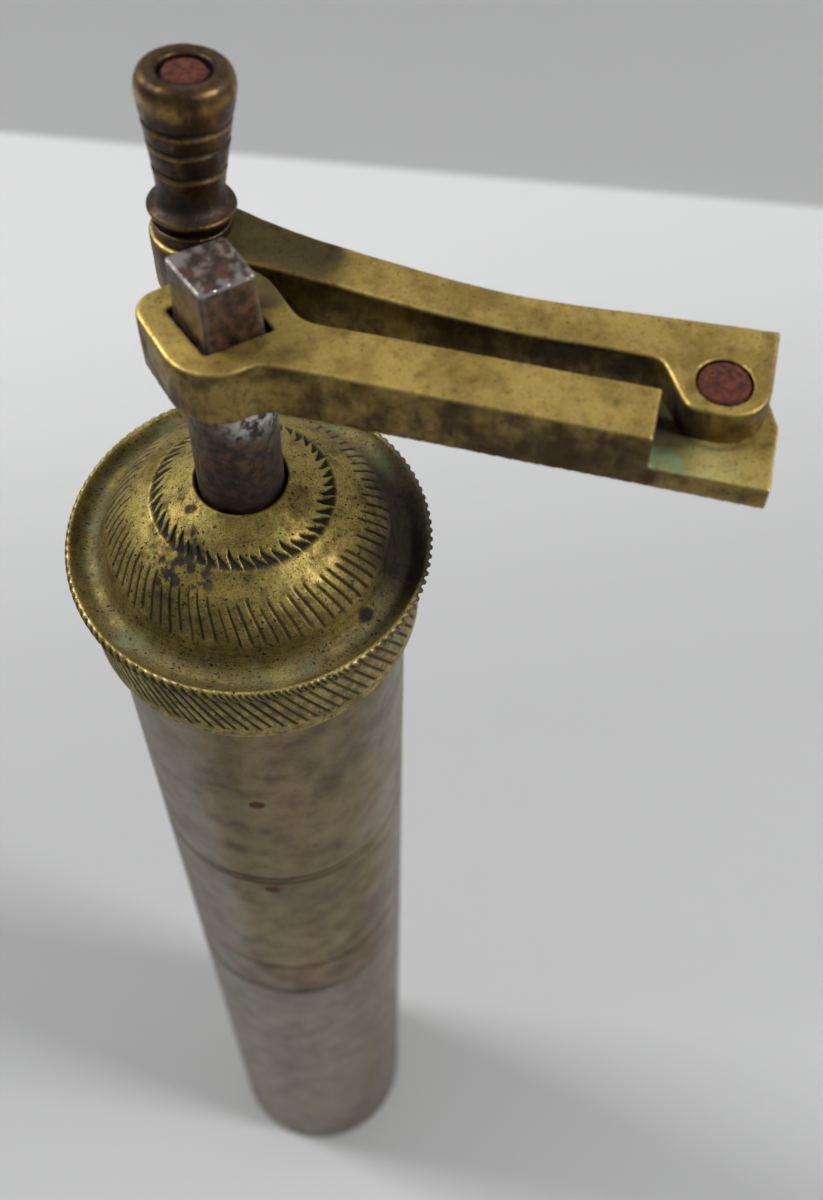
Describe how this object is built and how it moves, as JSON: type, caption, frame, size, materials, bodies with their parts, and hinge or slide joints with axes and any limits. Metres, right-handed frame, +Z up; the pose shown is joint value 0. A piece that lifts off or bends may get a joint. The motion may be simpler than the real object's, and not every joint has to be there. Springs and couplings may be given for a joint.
{
  "type": "coffee grinder mill",
  "caption": "Slim cylindrical brass hand coffee mill with a domed knurled-edge lid, a steel square-topped spindle and a folding crank with a turned knob.",
  "frame": {"origin": "centre of the foot, on the surface that the mill stands on", "axes": "+Z up along the mill's axis; the crank points 23 degrees from +X towards -Y"},
  "size_m": [0.094, 0.0588, 0.3581],
  "materials": {
    "tube_brass": "aged brown-grey brass sheet, satin, mottled",
    "lid_brass": "aged yellow brass, worn bright on raised edges, pitted",
    "arm_brass": "cast and filed yellow brass with brown tarnish in the hollows",
    "knob_brass": "turned brass with dark bronze tarnish",
    "inside_brass": "unpolished brass",
    "spindle_steel": "bright steel under brown rust",
    "rusted_iron": "red-brown rusted iron",
    "burr_iron": "dark hardened iron"
  },
  "bodies": {
    "receiver": {"receiver_tube": "tube_brass", "receiver_base": "tube_brass"},
    "mill_body": {"hopper_tube": "tube_brass", "spigot_sleeve": "inside_brass", "upper_bridge": "burr_iron", "upper_bridge_rivets": "rusted_iron", "burr_ring": "burr_iron", "burr_ring_pins": "rusted_iron", "lower_bridge": "burr_iron", "lower_bridge_rivets": "rusted_iron"},
    "lid": {"lid_skirt": "lid_brass", "lid_dome": "lid_brass"},
    "adjuster": {"adjusting_screw": "inside_brass"},
    "thrust": {"thrust_ball": "spindle_steel"},
    "spindle": {"spindle": "spindle_steel", "burr_cone": "burr_iron", "cone_pin": "rusted_iron"},
    "crank_inner": {"crank_inner_arm": "arm_brass", "hinge_rivet": "rusted_iron"},
    "crank_outer": {"crank_outer_arm": "arm_brass", "knob_washer": "knob_brass", "knob_pin": "rusted_iron"},
    "knob": {"knob": "knob_brass"}
  },
  "joints": [
    {"name": "body_lift", "type": "slide", "parent": "receiver", "child": "mill_body", "axis": [0, 0, 1], "range_m": [0, 0.03]},
    {"name": "lid_lift", "type": "slide", "parent": "mill_body", "child": "lid", "axis": [0, 0, 1], "range_m": [0, 0.02]},
    {"name": "grind_lift", "type": "slide", "parent": "mill_body", "child": "thrust", "axis": [0, 0, 1], "range_m": [0, 0.0016]},
    {"name": "adjuster_turn", "type": "hinge", "parent": "thrust", "child": "adjuster", "pos_m": [0, 0, 0.13], "axis": [0, 0, 1], "range_deg": [0, 721]},
    {"name": "spindle_spin", "type": "hinge", "parent": "thrust", "child": "spindle", "pos_m": [0, 0, 0.2], "axis": [0, 0, -1], "continuous": true},
    {"name": "crank_lift", "type": "slide", "parent": "spindle", "child": "crank_inner", "axis": [0, 0, 1], "range_m": [0, 0.025]},
    {"name": "crank_fold", "type": "hinge", "parent": "crank_inner", "child": "crank_outer", "pos_m": [0.0581, -0.01923, 0.33], "axis": [0, 0, -1], "range_deg": [0, 180]},
    {"name": "knob_spin", "type": "hinge", "parent": "crank_outer", "child": "knob", "pos_m": [-0.00074, 0.01799, 0.34736], "axis": [0.0734, 0.1332, 0.9884], "continuous": true}
  ],
  "couplings": [
    {"joint": "adjuster_turn", "follows": "grind_lift", "rad_per_m": 7854}
  ]
}
